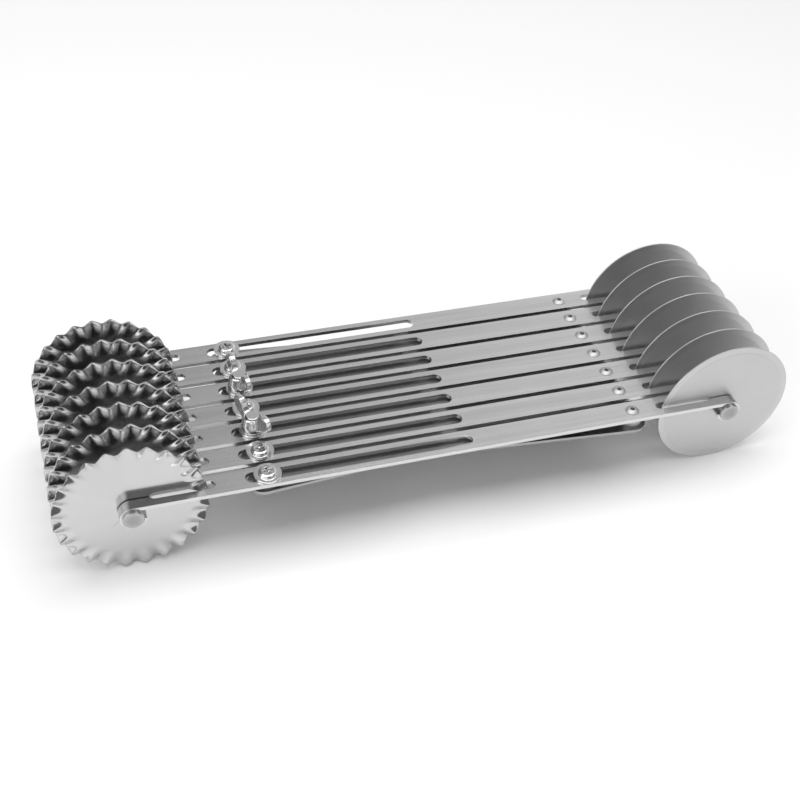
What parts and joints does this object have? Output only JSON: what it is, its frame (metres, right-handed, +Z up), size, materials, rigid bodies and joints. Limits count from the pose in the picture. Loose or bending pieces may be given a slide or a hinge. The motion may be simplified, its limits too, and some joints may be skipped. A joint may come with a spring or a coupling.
{
  "type": "expanding dough divider",
  "caption": "Expanding dough divider: parallel steel arms on a lazy-tongs of links, each with a fluted wheel at one end and a plain wheel at the other.",
  "frame": {"origin": "on the surface that the wheels stand on, under the middle of the closed tool", "axes": "+X along the arms from the fluted wheels to the plain wheels, +Y from arm 7 to arm 1, +Z up"},
  "size_m": [0.2845, 0.0841, 0.055],
  "materials": {
    "arm_steel": "stainless strip, brushed along its length",
    "link_steel": "stainless strip, brushed along its length",
    "plain_wheel_steel": "stainless sheet, fine lathe-turned polish with a ground edge",
    "fluted_wheel_steel": "pressed stainless sheet, satin",
    "pin_steel": "turned stainless, semi-bright",
    "rivet_steel": "stainless, semi-bright",
    "fastener_nickel": "bright nickel plate",
    "wing_nut_nickel": "bright nickel plate over a cast surface"
  },
  "bodies": {
    "arm_1": {"arm_1": "arm_steel", "axle_pins_1": "pin_steel"},
    "arm_2": {"arm_2": "arm_steel", "axle_pins_2": "pin_steel"},
    "arm_3": {"arm_3": "arm_steel", "axle_pins_3": "pin_steel"},
    "arm_4": {"arm_4": "arm_steel", "axle_pins_4": "pin_steel", "pivot_rivet_4": "rivet_steel"},
    "arm_5": {"arm_5": "arm_steel", "axle_pins_5": "pin_steel"},
    "arm_6": {"arm_6": "arm_steel", "axle_pins_6": "pin_steel"},
    "arm_7": {"arm_7": "arm_steel", "axle_pins_7": "pin_steel"},
    "upper_link_1_2": {"upper_link_1_2": "link_steel", "link_rivets_1_2": "rivet_steel", "slide_screw_2": "fastener_nickel"},
    "lower_link_1_2": {"lower_link_1_2": "link_steel", "slide_screw_1": "fastener_nickel"},
    "upper_link_2_3": {"upper_link_2_3": "link_steel", "link_rivets_2_3": "rivet_steel", "wing_bolt_3": "fastener_nickel"},
    "lower_link_2_3": {"lower_link_2_3": "link_steel"},
    "upper_link_3_4": {"upper_link_3_4": "link_steel", "link_rivets_3_4": "rivet_steel", "slide_screw_4": "fastener_nickel"},
    "lower_link_3_4": {"lower_link_3_4": "link_steel"},
    "upper_link_4_5": {"upper_link_4_5": "link_steel", "wing_bolt_5": "fastener_nickel"},
    "lower_link_4_5": {"lower_link_4_5": "link_steel", "link_rivets_4_5": "rivet_steel"},
    "upper_link_5_6": {"upper_link_5_6": "link_steel", "slide_screw_6": "fastener_nickel"},
    "lower_link_5_6": {"lower_link_5_6": "link_steel", "link_rivets_5_6": "rivet_steel"},
    "upper_link_6_7": {"upper_link_6_7": "link_steel", "slide_screw_7": "fastener_nickel"},
    "lower_link_6_7": {"lower_link_6_7": "link_steel", "link_rivets_6_7": "rivet_steel"},
    "wing_nut_3": {"wing_nut_3": "wing_nut_nickel"},
    "wing_nut_5": {"wing_nut_5": "wing_nut_nickel"},
    "fluted_wheel_1": {"fluted_wheel_1": "fluted_wheel_steel"},
    "plain_wheel_1": {"plain_wheel_1": "plain_wheel_steel"},
    "fluted_wheel_2": {"fluted_wheel_2": "fluted_wheel_steel"},
    "plain_wheel_2": {"plain_wheel_2": "plain_wheel_steel"},
    "fluted_wheel_3": {"fluted_wheel_3": "fluted_wheel_steel"},
    "plain_wheel_3": {"plain_wheel_3": "plain_wheel_steel"},
    "fluted_wheel_4": {"fluted_wheel_4": "fluted_wheel_steel"},
    "plain_wheel_4": {"plain_wheel_4": "plain_wheel_steel"},
    "fluted_wheel_5": {"fluted_wheel_5": "fluted_wheel_steel"},
    "plain_wheel_5": {"plain_wheel_5": "plain_wheel_steel"},
    "fluted_wheel_6": {"fluted_wheel_6": "fluted_wheel_steel"},
    "plain_wheel_6": {"plain_wheel_6": "plain_wheel_steel"},
    "fluted_wheel_7": {"fluted_wheel_7": "fluted_wheel_steel"},
    "plain_wheel_7": {"plain_wheel_7": "plain_wheel_steel"}
  },
  "joints": [
    {"name": "spread_4_5", "type": "hinge", "parent": "arm_4", "child": "upper_link_4_5", "pos_m": [0.075, 0.00035, 0.029], "axis": [0, 0, 1], "range_deg": [0, 56.7]},
    {"name": "link_cross_4_5", "type": "hinge", "parent": "upper_link_4_5", "child": "lower_link_4_5", "pos_m": [0.004, -0.00565, 0.029], "axis": [0, 0, 1], "range_deg": [-113.4, 0]},
    {"name": "arm_5_pivot", "type": "hinge", "parent": "lower_link_4_5", "child": "arm_5", "pos_m": [0.075, -0.01165, 0.029], "axis": [0, 0, 1], "range_deg": [0, 56.7]},
    {"name": "upper_link_pivot_5_6", "type": "hinge", "parent": "arm_5", "child": "upper_link_5_6", "pos_m": [0.075, -0.01165, 0.029], "axis": [0, 0, 1], "range_deg": [0, 56.7]},
    {"name": "link_cross_5_6", "type": "hinge", "parent": "upper_link_5_6", "child": "lower_link_5_6", "pos_m": [0.004, -0.01765, 0.029], "axis": [0, 0, 1], "range_deg": [-113.4, 0]},
    {"name": "arm_6_pivot", "type": "hinge", "parent": "lower_link_5_6", "child": "arm_6", "pos_m": [0.075, -0.02365, 0.029], "axis": [0, 0, 1], "range_deg": [0, 56.7]},
    {"name": "upper_link_pivot_6_7", "type": "hinge", "parent": "arm_6", "child": "upper_link_6_7", "pos_m": [0.075, -0.02365, 0.029], "axis": [0, 0, 1], "range_deg": [0, 56.7]},
    {"name": "link_cross_6_7", "type": "hinge", "parent": "upper_link_6_7", "child": "lower_link_6_7", "pos_m": [0.004, -0.02965, 0.029], "axis": [0, 0, 1], "range_deg": [-113.4, 0]},
    {"name": "arm_7_pivot", "type": "hinge", "parent": "lower_link_6_7", "child": "arm_7", "pos_m": [0.075, -0.03565, 0.029], "axis": [0, 0, 1], "range_deg": [0, 56.7]},
    {"name": "lower_link_pivot_3_4", "type": "hinge", "parent": "arm_4", "child": "lower_link_3_4", "pos_m": [0.075, 0.00035, 0.029], "axis": [0, 0, 1], "range_deg": [-56.7, 0]},
    {"name": "link_cross_3_4", "type": "hinge", "parent": "lower_link_3_4", "child": "upper_link_3_4", "pos_m": [0.004, 0.00635, 0.029], "axis": [0, 0, 1], "range_deg": [0, 113.4]},
    {"name": "arm_3_pivot", "type": "hinge", "parent": "upper_link_3_4", "child": "arm_3", "pos_m": [0.075, 0.01235, 0.029], "axis": [0, 0, 1], "range_deg": [-56.7, 0]},
    {"name": "lower_link_pivot_2_3", "type": "hinge", "parent": "arm_3", "child": "lower_link_2_3", "pos_m": [0.075, 0.01235, 0.029], "axis": [0, 0, 1], "range_deg": [-56.7, 0]},
    {"name": "link_cross_2_3", "type": "hinge", "parent": "lower_link_2_3", "child": "upper_link_2_3", "pos_m": [0.004, 0.01835, 0.029], "axis": [0, 0, 1], "range_deg": [0, 113.4]},
    {"name": "arm_2_pivot", "type": "hinge", "parent": "upper_link_2_3", "child": "arm_2", "pos_m": [0.075, 0.02435, 0.029], "axis": [0, 0, 1], "range_deg": [-56.7, 0]},
    {"name": "lower_link_pivot_1_2", "type": "hinge", "parent": "arm_2", "child": "lower_link_1_2", "pos_m": [0.075, 0.02435, 0.029], "axis": [0, 0, 1], "range_deg": [-56.7, 0]},
    {"name": "link_cross_1_2", "type": "hinge", "parent": "lower_link_1_2", "child": "upper_link_1_2", "pos_m": [0.004, 0.03035, 0.029], "axis": [0, 0, 1], "range_deg": [0, 113.4]},
    {"name": "arm_1_pivot", "type": "hinge", "parent": "upper_link_1_2", "child": "arm_1", "pos_m": [0.075, 0.03635, 0.029], "axis": [0, 0, 1], "range_deg": [-56.7, 0]},
    {"name": "fluted_wheel_1_spin", "type": "hinge", "parent": "arm_1", "child": "fluted_wheel_1", "pos_m": [-0.115, 0.03635, 0.0275], "axis": [0, 1, 0], "continuous": true},
    {"name": "plain_wheel_1_spin", "type": "hinge", "parent": "arm_1", "child": "plain_wheel_1", "pos_m": [0.115, 0.03635, 0.0275], "axis": [0, 1, 0], "continuous": true},
    {"name": "fluted_wheel_2_spin", "type": "hinge", "parent": "arm_2", "child": "fluted_wheel_2", "pos_m": [-0.115, 0.02435, 0.0275], "axis": [0, 1, 0], "continuous": true},
    {"name": "plain_wheel_2_spin", "type": "hinge", "parent": "arm_2", "child": "plain_wheel_2", "pos_m": [0.115, 0.02435, 0.0275], "axis": [0, 1, 0], "continuous": true},
    {"name": "fluted_wheel_3_spin", "type": "hinge", "parent": "arm_3", "child": "fluted_wheel_3", "pos_m": [-0.115, 0.01235, 0.0275], "axis": [0, 1, 0], "continuous": true},
    {"name": "plain_wheel_3_spin", "type": "hinge", "parent": "arm_3", "child": "plain_wheel_3", "pos_m": [0.115, 0.01235, 0.0275], "axis": [0, 1, 0], "continuous": true},
    {"name": "fluted_wheel_4_spin", "type": "hinge", "parent": "arm_4", "child": "fluted_wheel_4", "pos_m": [-0.115, 0.00035, 0.0275], "axis": [0, 1, 0], "continuous": true},
    {"name": "plain_wheel_4_spin", "type": "hinge", "parent": "arm_4", "child": "plain_wheel_4", "pos_m": [0.115, 0.00035, 0.0275], "axis": [0, 1, 0], "continuous": true},
    {"name": "fluted_wheel_5_spin", "type": "hinge", "parent": "arm_5", "child": "fluted_wheel_5", "pos_m": [-0.115, -0.01165, 0.0275], "axis": [0, 1, 0], "continuous": true},
    {"name": "plain_wheel_5_spin", "type": "hinge", "parent": "arm_5", "child": "plain_wheel_5", "pos_m": [0.115, -0.01165, 0.0275], "axis": [0, 1, 0], "continuous": true},
    {"name": "fluted_wheel_6_spin", "type": "hinge", "parent": "arm_6", "child": "fluted_wheel_6", "pos_m": [-0.115, -0.02365, 0.0275], "axis": [0, 1, 0], "continuous": true},
    {"name": "plain_wheel_6_spin", "type": "hinge", "parent": "arm_6", "child": "plain_wheel_6", "pos_m": [0.115, -0.02365, 0.0275], "axis": [0, 1, 0], "continuous": true},
    {"name": "fluted_wheel_7_spin", "type": "hinge", "parent": "arm_7", "child": "fluted_wheel_7", "pos_m": [-0.115, -0.03565, 0.0275], "axis": [0, 1, 0], "continuous": true},
    {"name": "plain_wheel_7_spin", "type": "hinge", "parent": "arm_7", "child": "plain_wheel_7", "pos_m": [0.115, -0.03565, 0.0275], "axis": [0, 1, 0], "continuous": true},
    {"name": "wing_nut_3_turn", "type": "hinge", "parent": "upper_link_2_3", "child": "wing_nut_3", "pos_m": [-0.067, 0.01235, 0.036], "axis": [0, 0, 1], "range_deg": [0, 360]},
    {"name": "wing_nut_5_turn", "type": "hinge", "parent": "upper_link_4_5", "child": "wing_nut_5", "pos_m": [-0.067, -0.01165, 0.036], "axis": [0, 0, 1], "range_deg": [0, 360]}
  ],
  "couplings": [
    {"joint": "link_cross_4_5", "follows": "spread_4_5", "ratio": -2},
    {"joint": "arm_5_pivot", "follows": "spread_4_5", "ratio": 1},
    {"joint": "upper_link_pivot_5_6", "follows": "spread_4_5", "ratio": 1},
    {"joint": "link_cross_5_6", "follows": "spread_4_5", "ratio": -2},
    {"joint": "arm_6_pivot", "follows": "spread_4_5", "ratio": 1},
    {"joint": "upper_link_pivot_6_7", "follows": "spread_4_5", "ratio": 1},
    {"joint": "link_cross_6_7", "follows": "spread_4_5", "ratio": -2},
    {"joint": "arm_7_pivot", "follows": "spread_4_5", "ratio": 1},
    {"joint": "lower_link_pivot_3_4", "follows": "spread_4_5", "ratio": -1},
    {"joint": "link_cross_3_4", "follows": "spread_4_5", "ratio": 2},
    {"joint": "arm_3_pivot", "follows": "spread_4_5", "ratio": -1},
    {"joint": "lower_link_pivot_2_3", "follows": "spread_4_5", "ratio": -1},
    {"joint": "link_cross_2_3", "follows": "spread_4_5", "ratio": 2},
    {"joint": "arm_2_pivot", "follows": "spread_4_5", "ratio": -1},
    {"joint": "lower_link_pivot_1_2", "follows": "spread_4_5", "ratio": -1},
    {"joint": "link_cross_1_2", "follows": "spread_4_5", "ratio": 2},
    {"joint": "arm_1_pivot", "follows": "spread_4_5", "ratio": -1}
  ]
}
